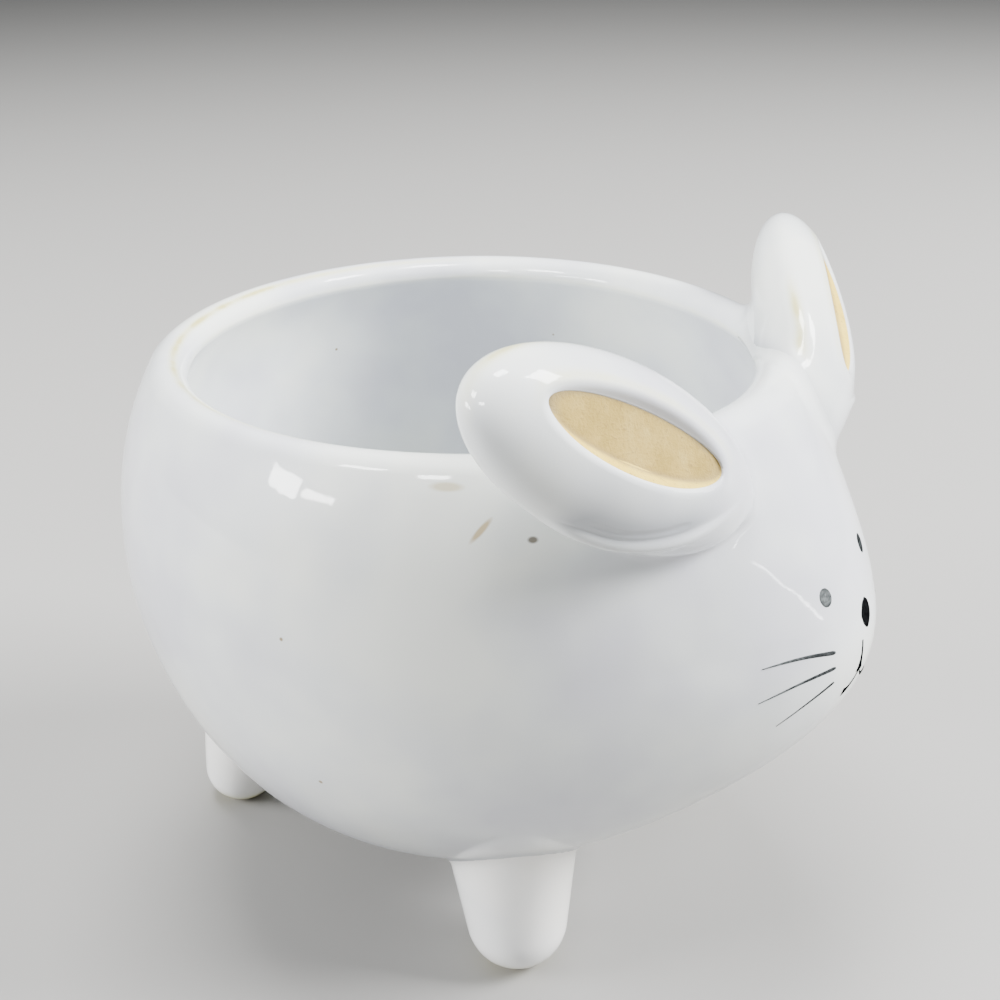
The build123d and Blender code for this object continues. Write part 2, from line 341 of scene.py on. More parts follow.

# The glaze lies thin in a line along the lip's crest, most at the back of the pot, and less so
# along the lip's inner edge. The lower wall is painted blue-grey, more towards the bottom, as
# painted shade. Turns go round the lip's bead, from its outside over the crest.
crest_turn = 1.95
crest_width = 0.24
inner_turn = 3.05
inner_width = 0.2
front_share = 0.12
thinnest_heading = 0.35
low_shade_from = 75 * mm
low_shade_over = 40 * mm
low_shade_most = 0.35
skin = pot_rows.reshape(-1, 3)
turn_round = np.arctan2(skin[:, 0], pot_axis - skin[:, 1])
bead_out = np.hypot(skin[:, 0], skin[:, 1] - pot_axis) - lip_ring - rim_reach(skin[:, 2], turn_round)
bead_up = skin[:, 2] - rim_height
on_bead = bell(np.hypot(bead_out, bead_up) - lip_radius, 0.8 * mm)
bead_turn = np.arctan2(bead_up, bead_out)
crest_line = bell(bead_turn - crest_turn, crest_width) * on_bead
inner_line = bell(np.abs(bead_turn) - inner_turn, inner_width) * on_bead
at_back = np.clip(-np.cos(turn_round - thinnest_heading), 0, 1)
back_share = front_share + (1 - front_share) * at_back
# Painted shade: below 75 mm the value falls under nought and darkens the lower wall.
low_shade = low_shade_most * np.clip((low_shade_from - skin[:, 2]) / low_shade_over, 0, 1)
thin = crest_line * back_share * 0.8 + inner_line * 0.25 - low_shade
point_values(pot, "thin", np.append(thin, [-low_shade_most, -low_shade_most]))
pot.data.materials.append(body_glaze)
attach(pot, "root")
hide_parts("pot_body")


# The ears: two solid egg shapes of clay, luted to the shoulder beside the head, with a roll of
# slip left in the groove under each. An oval dish is pressed into the front; its floor and lower
# wall were waxed before the dip, so that they stay bare. The left ear sits 2 mm lower.
ear_half_length = 27.3 * mm
ear_half_width = 14.0 * mm
ear_half_thickness = 8.6 * mm
ear_heading = np.radians(36.8)
ear_stand_out = 5.2 * mm
ear_rise = 6.0 * mm
dish_half_length = 16.3 * mm
dish_half_width = 4.3 * mm
dish_floor_height = 6.2 * mm
dish_wall_lean = np.radians(51)
dish_forward = 0.7 * mm
dish_up = 1.6 * mm
dish_edge_round = 0.9 * mm
under_clay = 1.0 * mm
glaze_step = 0.2 * mm
ear_fillet = 5.0 * mm
root_depth = 2.5 * mm


def pot_depth(points):
    """Rough distance outside the pot: below the belly its superellipse, then the shoulder, which
    runs on along its tangent, and above the ray where the lip begins the ring of the lip. Each is
    a form that is nought on the wall, over its slope."""

    def without_growth(at):
        radius = np.hypot(at[..., 0], at[..., 1] - pot_axis)
        heading = np.arctan2(at[..., 0], pot_axis - at[..., 1])
        grown = head_bulge(at[..., 2], heading, head_rise, head_fall) + rim_reach(at[..., 2], heading)
        return radius - grown

    def bowl(at):
        fall = np.clip((belly_height - at[..., 2]) / (belly_height - base_height), 0, None)
        out = np.clip((without_growth(at) - base_radius) / (belly_radius - base_radius), 0, None)
        return (fall**lower_power + out**lower_power) ** (1 / lower_power) - 1

    def shoulder(at):
        past = np.maximum(at[..., 2] - shoulder_top, 0)
        profile = rolled_in(at[..., 2] - past, belly_radius, shoulder_radius, shoulder_top, lip_lean)
        return (without_growth(at) - profile + np.tan(lip_lean) * past) / belly_radius

    def lip(at):
        ring = np.hypot(without_growth(at) - lip_ring, at[..., 2] - rim_height)
        return (ring - lip_radius) / belly_radius

    over = points[..., 2] - rim_height
    low = points[..., 2] < belly_height
    on_lip = ~low & (over > 0) & (over > np.tan(lip_lean) * (without_growth(points) - lip_ring))
    depths = np.zeros(points.shape[:-1])
    step = 0.2 * mm
    for form, zone in ((bowl, low), (shoulder, ~(low | on_lip)), (lip, on_lip)):
        at = points[zone]
        slopes = [form(at + step * way) - form(at - step * way) for way in np.eye(3)]
        steepness = np.sqrt(sum(slope**2 for slope in slopes)) / (2 * step)
        depths[zone] = form(at) / np.maximum(steepness, 1.0)
    return depths


def uphill(depth, points):
    """Unit vectors out of a surface: the slope of its depth form, by small steps each way."""
    step = 0.1 * mm
    slope = np.stack([depth(points + step * way) - depth(points - step * way) for way in np.eye(3)], -1)
    return slope / np.maximum(np.linalg.norm(slope, axis=-1, keepdims=True), 1e-12)


def luted(points, own_depth, other_depth, fillet):
    """Moves the points of one piece's surface out to its smooth union with another, as slip
    drawn round a joint does. Past the middle of the fillet the points follow its tangent and
    sink a little below it, so that the two pieces meet there and dive under each other."""
    farthest, sinking, buried = 0.7, 0.06, -1.0 * mm
    ways = uphill(own_depth, points)
    low = np.zeros(points.shape[:-1])
    high = farthest * fillet + low
    hidden = other_depth(points) < buried
    for _ in range(16):
        middle = (low + high) / 2
        at = points + ways * middle[..., None]
        own, other = own_depth(at), other_depth(at)
        share = np.clip(1 - np.abs(own - other) / fillet, 0, 1)
        smooth = np.minimum(own, other) - fillet / 4 * share**2
        straight = (own + other) / 2 - fillet / 4 + sinking * (own - other)
        inside = (np.where(other >= own, smooth, straight) < 0) & (other > buried)
        low, high = np.where(inside, middle, low), np.where(inside, high, middle)
    return points + ways * np.where(hidden, 0, low)[..., None]


def joint_shade_and_pool(away):
    """How much painted shade darkens the glaze round a joint, where the glaze also pools: a bell curve of
    the distance from it.
    """
    return 0.45 * bell(np.maximum(away, 0), 1.6 * mm)


def draw_up(wall, own_depth, fillet_at):
    """Draws the outside of the pot up round the root of a piece that is luted to it, and darkens
    the joint with painted shade, where the glaze also pools."""
    reach, skin_depth = 7 * mm, 0.3 * mm
    points = np.empty(len(wall.data.vertices) * 3, np.float32)
    wall.data.vertices.foreach_get("co", points)
    points = points.reshape(-1, 3).astype(float)
    near = np.flatnonzero(own_depth(points) < reach)
    near = near[np.abs(pot_depth(points[near])) < skin_depth]
    # Painted shade round the joint, where the glaze also pools.
    shaded_pool = joint_shade_and_pool(own_depth(points[near]))
    points[near] = luted(points[near], pot_depth, own_depth, fillet_at(points[near]))
    layer = wall.data.attributes["thin"].data
    values = np.empty(len(layer), np.float32)
    layer.foreach_get("value", values)
    values[near] -= shaded_pool
    layer.foreach_set("value", values)
    wall.data.vertices.foreach_set("co", points.astype(np.float32).ravel())
    wall.data.update()


def held_in_wall(points):
    """Points that lie deeper in the pot's wall than the roots go are drawn back out to there."""
    radius = np.hypot(points[..., 0], points[..., 1] - pot_axis)
    heading = np.arctan2(points[..., 0], pot_axis - points[..., 1])
    least = outside_radius(points[..., 2], heading) - root_depth
    grow = np.where(points[..., 2] < rim_height, np.maximum(least / np.maximum(radius, mm), 1), 1)
    middle = np.array([0, pot_axis])
    flat = middle + (points[..., :2] - middle) * grow[..., None]
    return np.concatenate([flat, points[..., 2:]], -1)


def ear_ways(swing, lift, roll):
    """Unit vectors of an ear on the +X side: along it, across it, and out of its face."""
    along = np.array([np.cos(lift) * np.cos(swing), np.cos(lift) * np.sin(swing), np.sin(lift)])
    level = np.cross(along, [0, 0, 1])
    level /= np.linalg.norm(level)
    face = np.cross(level, along) * np.cos(roll) + level * np.sin(roll)
    return along, np.cross(face, along), face


def egg_height(along, across):
    """Height of the egg shape's front over the ear's middle plane."""
    inner = 1 - (along / ear_half_length) ** 2 - (across / ear_half_width) ** 2
    return ear_half_thickness * np.sqrt(np.clip(inner, 0, 1))


def past_floor(along, across):
    """Distance outside the oval floor of the dish: its form less one, over the form's slope."""
    long_share = (along - dish_forward) / dish_half_length
    wide_share = (across - dish_up) / dish_half_width
    reach = np.hypot(long_share, wide_share)
    slope = np.hypot(long_share / dish_half_length, wide_share / dish_half_width)
    return reach * (reach - 1) / np.maximum(slope, 1.0)


def ear_face(along, across):
    """Height of the front: the lower of the egg shape and of the dish, whose wall climbs from
    its flat floor on its lean, with the edge between them rounded."""
    egg = egg_height(along, across)
    wall = dish_floor_height + np.maximum(past_floor(along, across), 0) / np.tan(dish_wall_lean)
    soft = np.clip(1 - np.abs(egg - wall) / dish_edge_round, 0, 1)
    return np.minimum(egg, wall) - dish_edge_round / 4 * soft**2


def dish_oval(turn, grown):
    """Places along and across an ear on the outline of the dish's floor, grown by a width."""
    along = dish_forward + (dish_half_length + grown) * np.cos(turn)
    return along, dish_up + (dish_half_width + grown) * np.sin(turn)


def wall_width(turn):
    """Width of the dish's wall all round: it ends where it has climbed to the egg shape."""
    low, high = np.zeros_like(turn), np.full_like(turn, 4 * mm)
    for _ in range(20):
        middle = (low + high) / 2
        climbed = dish_floor_height + middle / np.tan(dish_wall_lean)
        under = egg_height(*dish_oval(turn, middle)) > climbed
        low, high = np.where(under, middle, low), np.where(under, high, middle)
    return low


def bare_width(turn):
    """Width of bare clay round the floor: most of the lower wall, none of the upper one."""
    lower = np.clip(0.5 - 0.8 * np.sin(turn + 0.4), 0, 1)
    return wall_width(turn) * 0.9 * eased(lower)


def ear_skin(turn):
    """Rows of an ear's skin as places along, across and out: from the middle of the back over
    the rim, in over the front and down the dish to the glaze's rounded edge, and under the clay."""
    wrap = np.linspace(0.03, np.pi / 2, 70)[:, None]
    back_along = ear_half_length * np.sin(wrap) * np.cos(turn)
    back_across = ear_half_width * np.sin(wrap) * np.sin(turn)
    back = [back_along, back_across, -ear_half_thickness * np.cos(wrap) + 0 * turn]
    bare = bare_width(turn)
    edge_along, edge_across = dish_oval(turn, bare)
    inward = np.linspace(0, 1, 84)[1:, None] ** 1.5
    front_along = ear_half_length * np.cos(turn) * (1 - inward) + edge_along * inward
    front_across = ear_half_width * np.sin(turn) * (1 - inward) + edge_across * inward
    front = [front_along, front_across, ear_face(front_along, front_across)]
    shrink = np.array([0.05, 0.13, 0.22, 0.3])[:, None] * mm
    drop = np.array([0.02, 0.08, 0.2, 0.5])[:, None] * mm
    edge = [*dish_oval(turn, bare - shrink), ear_face(edge_along, edge_across) - drop]
    sunk_along, sunk_across = dish_oval(turn, -0.8 * mm)
    sunk = [sunk_along, sunk_across, np.full_like(turn, dish_floor_height - under_clay)]
    return [np.vstack(parts) for parts in zip(back, front, edge, sunk)]


def slip_roll(along, across, out):
    """How far the front of an ear stands out or in along the crease that ends it below, and how
    much painted shade darkens it there: the front sinks towards the crease and a roll of slip
    swells beyond it, both as bell curves of the distance, and the painted shade fades up the front
    above the crease. The crease runs level and then bends up round the dish as a parabola;
    distances to it are taken across and out together."""
    level = -12.65 * mm
    bend_from = 1.6 * mm
    bend = 0.0243 / mm
    sink_depth, sink_above, sink_below = 1.9 * mm, 3.2 * mm, 0.9 * mm
    roll_height, roll_below, roll_width = 1.0 * mm, 2.4 * mm, 1.5 * mm
    shade_above, shade_below = 5.6 * mm, 1.3 * mm
    front_end, front_fade = 11 * mm, 8 * mm
    back_end, back_fade = 23 * mm, 13 * mm
    crease_across = level + bend * np.clip(bend_from - along, 0, None) ** 2
    crease_out = egg_height(along, crease_across)
    away = 0.74 * (across - crease_across + out - crease_out)
    sink = -sink_depth * bell(away, np.where(away > 0, sink_above, sink_below))
    swell = roll_height * bell(away + roll_below, roll_width)
    start = np.clip((front_end - along) / front_fade, 0, 1)
    stop = np.clip((along + back_end) / back_fade, 0, 1)
    fade = eased(start) * eased(stop)
    # Painted shade: fading slowly up the front above the crease, and as a bell curve below it.
    pool_and_shade = np.where(away > 0, np.exp(-away / shade_above), bell(away, shade_below))
    return (sink + swell) * fade, pool_and_shade * fade


def ear_thinness_and_shade(along, across, out, past_edge, streak):
    """How thin the glaze lies on an ear, and where painted shade darkens it. Bell curves make it
    thin in a line along the rim, most in the streak and in an amber drip behind it, and in a line
    round the dish; it pools in the upper wall of the dish, and the lower front is darkened with
    painted shade."""
    streak_at, streak_reach, drip = streak
    upper = across / ear_half_width
    rim_line = bell(out - 1.3 * mm, 1.2 * mm) * np.clip(0.5 + 0.7 * upper, 0, 1)
    rim_line = rim_line * (0.1 + 0.9 * bell(along - streak_at, streak_reach))
    amber = bell(along + 16.3 * mm, 2.4 * mm) * bell(out - 0.3 * mm, 1.0 * mm) * (upper > 0)
    dish_line = bell(past_edge - 1.0 * mm, 1.1 * mm) * (out > 0)
    dish_line = dish_line * np.clip(0.15 + 0.6 * upper, 0.06, 0.4)
    in_dish = np.clip(-past_edge / (0.8 * mm), 0, 1) * (out > 0) * np.clip(0.3 + upper, 0, 1)
    # Painted shade over the ear's lower front, deepest towards its lower edge.
    low_shade = np.clip(-upper, 0, 1) ** 1.5 * np.clip(0.5 + 2 * out / ear_half_thickness, 0, 1)
    return 0.8 * (rim_line + drip * amber) + dish_line - 0.6 * in_dish - 0.45 * low_shade


def make_ear(name, side, swing, lift, roll, drop, tight, streak):
    """One ear on its side of the head; for the right ear everything is mirrored across X. Its
    depth form is the egg's less one, over its slope, and inside the egg also the height over
    the dish. The rows of the glaze's edge and under the clay take no part in the joint."""
    along_way, across_way, face_way = ear_ways(*np.radians([swing, lift, roll]))
    distance = rim_radius + ear_stand_out
    middle = np.array([distance * np.sin(ear_heading), -distance * np.cos(ear_heading), 0])
    middle += [0, pot_axis, rim_height + ear_rise - drop]
    turn = np.linspace(0, 2 * np.pi, 240, endpoint=False)[None, :]
    along, across, out = ear_skin(turn)

    def place(along, across, out):
        long_part = along[..., None] * along_way
        return middle + long_part + across[..., None] * across_way + out[..., None] * face_way

    def own_depth(at):
        local = at - middle
        own_along, own_across, own_out = local @ along_way, local @ across_way, local @ face_way
        sizes = np.array([ear_half_length, ear_half_width, ear_half_thickness])
        shares = np.stack([own_along, own_across, own_out], -1) / sizes
        size = np.linalg.norm(shares, axis=-1)
        egg = size * (size - 1) / np.maximum(np.linalg.norm(shares / sizes, axis=-1), 1.0)
        dish = 0.9 * (own_out - ear_face(own_along, own_across))
        return np.where((own_out > 0) & (egg < 0), np.maximum(egg, dish), egg)

    def below(at):
        return np.clip(-((at - middle) @ across_way) / (0.35 * ear_half_width), 0, 1)

    def fillet_at(at):
        return ear_fillet - tight * eased(below(at))

    flip = np.array([side, 1, 1])
    rows = place(along, across, out)
    facing = [along / ear_half_length**2, across / ear_half_width**2, out / ear_half_thickness**2]
    facing = np.stack(facing, -1)
    facing /= np.linalg.norm(facing, axis=-1, keepdims=True)
    raised, shaded_pool = slip_roll(along, across, out)
    past_edge = past_floor(along, across) - wall_width(turn)
    outside_dish = past_edge > 0
    rows += (raised * outside_dish)[..., None] * (facing @ np.stack([along_way, across_way, face_way]))
    # Painted shade, deepest in the crease under the ear and round its joint with the pot.
    shaded_pool = (shaded_pool + joint_shade_and_pool(pot_depth(rows))) * outside_dish
    under_rows = 5
    outer = slice(0, -under_rows)
    rows[outer] = luted(rows[outer], own_depth, pot_depth, fillet_at(rows[outer]))
    rows = held_in_wall(rows)
    draw_up(pot, lambda at: own_depth(at * flip), lambda at: fillet_at(at * flip))
    back_pole = held_in_wall(place(np.zeros(1), np.zeros(1), np.full(1, -ear_half_thickness)))
    dish_middle = np.full(1, dish_forward), np.full(1, dish_up)
    face_pole = place(*dish_middle, np.full(1, dish_floor_height - under_clay))
    piece = closed_skin(name, [(rows * flip, back_pole[0] * flip, face_pole[0] * flip)])
    thin = ear_thinness_and_shade(along, across, out, past_edge, streak) - shaded_pool
    point_values(piece, "thin", np.append(thin.ravel(), [0, 0]))
    return piece, place, flip


def make_inner_ear(name, place, flip):
    """The bare clay: the flat floor and the lower wall of the dish, a little under the glaze,
    closed behind by a thin back. It carries how near each point is to the floor's outline."""
    turn = np.linspace(0, 2 * np.pi, 200, endpoint=False)[None, :]
    wide = bare_width(turn)
    flat = dish_floor_height - glaze_step
    clay_thickness = 0.9 * mm
    crease_width = 0.4 * mm
    rows = []
    for share in (0.2, 0.45, 0.7, 0.85, 0.94, 1.0):
        grown = -dish_half_width * (1 - share)
        edge_along, edge_across = dish_oval(turn, 0)
        along = dish_forward + (edge_along - dish_forward) * share
        across = dish_up + (edge_across - dish_up) * share
        rows.append((along, across, np.full_like(turn, flat), np.full_like(turn, grown)))
    for climb in (0.15, 0.35, 0.55, 0.75, 0.92):
        along, across = dish_oval(turn, wide * climb + 0.02 * mm)
        rows.append((along, across, ear_face(along, across) - glaze_step, wide * climb))
    for grow, deep in ((0.3 * mm, 0.55 * mm), (0.2 * mm, 1.2 * mm)):
        along, across = dish_oval(turn, wide + grow)
        rows.append((along, across, ear_face(*dish_oval(turn, wide)) - deep, wide + grow))
    along, across, out, grown = (np.concatenate(parts) for parts in zip(*rows))
    dish_middle = np.full(1, dish_forward), np.full(1, dish_up)
    top = place(*dish_middle, np.full(1, flat))[0]
    back = place(*dish_middle, np.full(1, flat - clay_thickness))[0]
    piece = closed_skin(name, [(place(along, across, out) * flip, top * flip, back * flip)])
    crease = bell(grown, crease_width) * np.where(wide > 0.3 * mm, 0.45, 1.0)
    point_values(piece, "crease", np.append(crease.ravel(), [0, 0]))
    slope = np.clip(grown / (0.6 * mm), 0, 1)
    point_values(piece, "slope", np.append(slope.ravel(), [0, 0]))
    return piece


# Bare buff stoneware clay, fired but not glazed: matt, slightly gritty and mottled, with iron
# specks and a darker line in the corner round the floor. The dish's floor is painted darker and
# its wall brighter: painted shade and painted light on one clay.
bare_clay = bpy.data.materials.new("bare_speckled_stoneware")
bare_clay.use_nodes = True
clay_tree = bare_clay.node_tree
clay_shader = clay_tree.nodes["Principled BSDF"]
clay_place = node(clay_tree, "ShaderNodeTexCoord").outputs["Object"]
patch_width = 6 * mm
patches = node(
    clay_tree, "ShaderNodeTexNoise", {"Vector": clay_place},
    Scale=1 / patch_width, Detail=5.0, Roughness=0.65,
).outputs["Fac"]
# Painted shade on the floor and painted light on the wall, one clay in two tones.
shaded_floor_colour = ramp(clay_tree, patches, ((0.3, "#9D8645"), (0.5, "#AE9550"), (0.72, "#BCA664")))
lit_wall_colour = ramp(clay_tree, patches, ((0.3, "#CDAF4C"), (0.7, "#DAC061")))
on_slope = node(clay_tree, "ShaderNodeAttribute", attribute_name="slope").outputs["Fac"]
both = node(
    clay_tree, "ShaderNodeMix", {0: on_slope, 6: shaded_floor_colour, 7: lit_wall_colour}, data_type="RGBA"
)
in_crease = node(clay_tree, "ShaderNodeAttribute", attribute_name="crease").outputs["Fac"]
lined = node(clay_tree, "ShaderNodeMix", {0: in_crease, 6: both.outputs[2]}, data_type="RGBA")
lined.inputs[7].default_value = linear("#8C7C5A")
clay_colour = lined.outputs[2]
grit_width = 0.55 * mm
grit = node(
    clay_tree, "ShaderNodeTexNoise", {"Vector": clay_place},
    Scale=1 / grit_width, Detail=2.0, Roughness=0.7,
).outputs["Fac"]
speck_cover = node(
    clay_tree, "ShaderNodeMapRange", {"Value": grit},
    From_Min=0.59, From_Max=0.7, To_Min=0.0, To_Max=0.6,
).outputs["Result"]
speckled = node(clay_tree, "ShaderNodeMix", {0: speck_cover, 6: clay_colour}, data_type="RGBA")
speckled.inputs[7].default_value = linear("#7F6B45")
clay_tree.links.new(speckled.outputs[2], clay_shader.inputs["Base Color"])
clay_bump = node(clay_tree, "ShaderNodeBump", {"Height": grit}, Strength=0.5, Distance=0.25 * mm)
clay_tree.links.new(clay_bump.outputs["Normal"], clay_shader.inputs["Normal"])
clay_shader.inputs["Roughness"].default_value = 0.85

# Each ear has its side, its swing, lift and roll in degrees, how much lower it sits, by how much
# its joint's fillet is smaller below, and the streak along its upper edge where the glaze ran
# thin: its place, its reach and how strongly it dripped.
ears = (
    ("right", -1, 34.3, 29.8, 62.9, 0.0, 2.6 * mm, (24 * mm, 7 * mm, 0.0)),
    ("left", 1, 31.6, 26.7, 65.5, 1.8 * mm, 0.8 * mm, (-10 * mm, 8 * mm, 0.9)),
)
for ear_name, *values in ears:
    ear, place, flip = make_ear("glazed_ear_" + ear_name, *values)
    ear.data.materials.append(body_glaze)
    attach(ear, "root")
    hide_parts("ear_" + ear_name)
    oval = make_inner_ear("bare_oval_" + ear_name, place, flip)
    oval.data.materials.append(bare_clay)
    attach(oval, "root")
    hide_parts("inner_ear_" + ear_name)


# The feet: four short stubs rolled from clay and luted under the belly, where they lean in. Each
# was wiped flat and bare of glaze where it stands, and the glaze thins to cream above that.
foot_flare = 0.17
foot_lean = np.radians(15)
foot_pad_radius = 3.5 * mm
foot_root = 2.0 * mm
foot_fillet = 1.6 * mm
foot_bare_height = 3.2 * mm

# Each foot has its side, its heading in degrees, its distance from the pot's axis and its radius.
feet = (
    ("front_right", -1, 46.4, 42.9 * mm, 9.7 * mm),
    ("front_left", 1, 46.4, 42.9 * mm, 9.7 * mm),
    ("rear_right", -1, 158.1, 54.2 * mm, 8.2 * mm),
    ("rear_left", 1, 158.1, 54.2 * mm, 8.2 * mm),
)


def make_foot(name, side, heading, distance, radius):
    """One foot: a round tip wiped flat that runs on into a widening cone, drawn up column by
    column until each column lies inside the pot's wall."""
    outward = np.array([side * np.sin(heading), -np.cos(heading), 0])
    tip_height = np.sqrt(radius**2 - foot_pad_radius**2)
    tip = outward * distance + [0, pot_axis, tip_height]
    upright = np.array([0, 0, 1]) - outward * np.tan(foot_lean)
    upright /= np.linalg.norm(upright)
    first = np.cross(upright, [1.0, 0, 0])
    first /= np.linalg.norm(first)
    second = np.cross(upright, first)
    turn = np.linspace(0, 2 * np.pi, 128, endpoint=False)[None, :, None]
    round_way = np.cos(turn) * first + np.sin(turn) * second
    cone_turn = np.arctan(foot_flare)
    bend = np.linspace(-np.pi / 2 + 0.05, -cone_turn, 30)[:, None, None]
    ball = tip + radius * (np.cos(bend) * round_way + np.sin(bend) * upright)
    climb_way = (upright + foot_flare * round_way) / np.hypot(1, foot_flare)
    low = np.zeros(turn.shape[:2])
    high = np.full(turn.shape[:2], belly_height)
    for _ in range(24):
        middle = (low + high) / 2
        outside = pot_depth(ball[-1:] + climb_way * middle[..., None]) > -foot_root
        low, high = np.where(outside, middle, low), np.where(outside, high, middle)
    cone = ball[-1:] + climb_way * low[..., None] * np.linspace(0, 1, 60)[1:, None, None]

    def own_depth(at):
        local = at - tip
        up = local @ upright
        out = np.linalg.norm(local - up[..., None] * upright, axis=-1)
        cone_side = (out - foot_flare * up) / np.hypot(1, foot_flare) - radius
        stub = np.where(up > -foot_flare * out, cone_side, np.hypot(up, out) - radius)
        return np.maximum(stub, at[..., 2] - belly_height)

    rows = luted(np.concatenate([ball, cone]), own_depth, pot_depth, foot_fillet)
    rows = held_in_wall(rows)
    draw_up(pot, own_depth, lambda at: foot_fillet)
    below = np.where(rows[..., 2] < 0, tip_height / (tip_height - rows[..., 2]), 1)
    rows = tip + (rows - tip) * below[..., None]
    foot = closed_skin(name, [(rows, tip * [1, 1, 0], rows[-1].mean(0))])
    bare = bell(rows[..., 2].ravel(), foot_bare_height)
    point_values(foot, "thin", np.append(bare, [1.0, 0.0]))
    return foot


# The feet carry the same glaze in whiter, warmer clouds, and it thins to cream at their pads.
foot_glaze = milky_glaze("whiter_foot_glaze", ("#E6E7E7", "#F2F1EE", "#F8F6F0"))
for foot_name, side, heading, distance, radius in feet:
    foot = make_foot("glazed_foot_" + foot_name, side, np.radians(heading), distance, radius)
    foot.data.materials.append(foot_glaze)
    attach(foot, "root")
    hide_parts("foot_" + foot_name)


# The face: brushed on the raw coat in black underglaze and fired with it, so each mark is a thin
# film with soft ends that follows the wall. The right eye and the whiskers' ends wore paler.
def on_wall(across, height, lift):
    """Points on the outside of the head at sideways places and heights, raised by a lift: the
    heading is found by stepping, because the wall's radius depends on it."""
    heading = np.arctan2(across, belly_radius + head_reach)
    for _ in range(12):
        heading = np.arcsin(across / outside_radius(height, heading))
    return pot_point(outside_radius(height, heading) + lift, height, heading)


def painted_patch(across, height, share):
    """A thin film: rings of points that share the way from its middle to its outline, raised
    most at the middle and sunk at the outline, and closed by a back inside the wall."""
    film = 0.16 * mm
    deep = -0.3 * mm
    top = on_wall(across, height, film * (1 - share**2) - 0.04 * mm)
    under = on_wall(across[-1:], height[-1:], deep)
    centre = across[:1].mean(1), height[:1].mean(1)
    return np.concatenate([top, under]), on_wall(*centre, film)[0], on_wall(*centre, deep)[0]


# Black underglaze, laid on by brush: fires flat black, and speckled grey where the brush ran dry.
underglaze = bpy.data.materials.new("black_underglaze")
underglaze.use_nodes = True
ink_tree = underglaze.node_tree
ink_shader = ink_tree.nodes["Principled BSDF"]
ink_place = node(ink_tree, "ShaderNodeTexCoord").outputs["Object"]
brush_width = 0.7 * mm
brushed = node(
    ink_tree, "ShaderNodeTexNoise", {"Vector": ink_place}, Scale=1 / brush_width, Detail=2.0
).outputs["Fac"]
solid = ramp(ink_tree, brushed, ((0.4, "#060607"), (0.7, "#141516")))
speckled = ramp(ink_tree, brushed, ((0.36, "#45494A"), (0.52, "#5A5E5F"), (0.66, "#6E7374")))
worn = node(ink_tree, "ShaderNodeAttribute", attribute_name="worn").outputs["Fac"]
ink_colour = node(ink_tree, "ShaderNodeMix", {0: worn, 6: solid, 7: speckled}, data_type="RGBA")
ink_tree.links.new(ink_colour.outputs[2], ink_shader.inputs["Base Color"])
ink_shader.inputs["Roughness"].default_value = 0.45
ink_shader.inputs["Specular IOR Level"].default_value = 0.0

# The eyes: upright ovals, each with its place across and up, and how worn it is.
eye_half_width = 1.5 * mm
eye_half_height = 1.8 * mm
eyes = (("right", -10.1 * mm, 82.9 * mm, 1.0), ("left", 6.0 * mm, 85.9 * mm, 0.15))
rings = np.array([0.12, 0.35, 0.6, 0.8, 0.92, 1.0])[:, None]
round_turn = np.linspace(0, 2 * np.pi, 64, endpoint=False)[None, :]
for eye_name, out, up, wear in eyes:
    eye_across = out + eye_half_width * rings * np.cos(round_turn)
    eye_height = up + eye_half_height * rings * np.sin(round_turn)
    eye = closed_skin("painted_eye_" + eye_name, [painted_patch(eye_across, eye_height, rings)])
    paler = np.repeat(wear * (1 - 0.8 * np.append(rings.ravel(), 1.0) ** 3), round_turn.size)
    point_values(eye, "worn", np.append(paler, [wear, 0]))
    eye.data.materials.append(underglaze)
    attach(eye, "root")
    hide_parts("eye_" + eye_name)

# The nose: an upright oval drawn to points above and below.
nose_middle = 0.4 * mm
nose_up = 76.2 * mm
nose_half_width = 2.3 * mm
nose_half_height = 3.0 * mm
pointed = np.sin(round_turn) * np.abs(np.sin(round_turn)) ** 0.35
nose_across = nose_middle + nose_half_width * rings * pointed
nose_height = nose_up + nose_half_height * rings * np.cos(round_turn)
nose = closed_skin("painted_nose", [painted_patch(nose_across, nose_height, rings)])
nose.data.materials.append(underglaze)
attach(nose, "root")
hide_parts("nose")


def brush_stroke(path_across, path_height, widths):
    """A brush stroke: a flat lens of a section carried along a path on the wall, with its width
    given at each step, so that it swells and runs out as the brush was pressed and lifted."""
    step_across = np.gradient(path_across)
    step_height = np.gradient(path_height)
    length = np.hypot(step_across, step_height)
    turn = np.linspace(0, 2 * np.pi, 16, endpoint=False)[None, :]
    aside = widths[:, None] / 2 * np.cos(turn)
    across = path_across[:, None] - (step_height / length)[:, None] * aside
    height = path_height[:, None] + (step_across / length)[:, None] * aside
    film = 0.14 * mm
    deep = 0.3 * mm
    lift = np.where(np.sin(turn) > 0, film, deep) * np.sin(turn) - 0.03 * mm + 0 * aside
    rows = on_wall(across, height, lift)
    return rows, rows[0].mean(0), rows[-1].mean(0)


# The mouth: a line down from under the nose, which swells to a blot at the fork, and a lobe to
# each side that the brush began lightly and ended broad.
way = np.linspace(0, 1, 40)
mouth_middle = -2.1 * mm
mouth_top = 72.2 * mm
mouth_fork = 66.6 * mm
mouth_half_width = 4.3 * mm
mouth_drop = 3.0 * mm
fork_overlap = 0.3 * mm
line = (
    mouth_middle + 0 * way,
    mouth_top - (mouth_top - mouth_fork + fork_overlap) * way,
    (0.4 + 0.5 * way + 1.8 * way**4) * mm,
)
lobes = [brush_stroke(*line)]
for side in (-1, 1):
    curve_across = mouth_middle + side * mouth_half_width * way
    curve_height = mouth_fork - mouth_drop * np.sin(way * np.pi / 2) ** 0.8
    lobes.append(brush_stroke(curve_across, curve_height, (0.2 + 1.8 * way**2) * mm))
mouth = closed_skin("painted_mouth", lobes)
mouth.data.materials.append(underglaze)
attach(mouth, "root")
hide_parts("mouth")

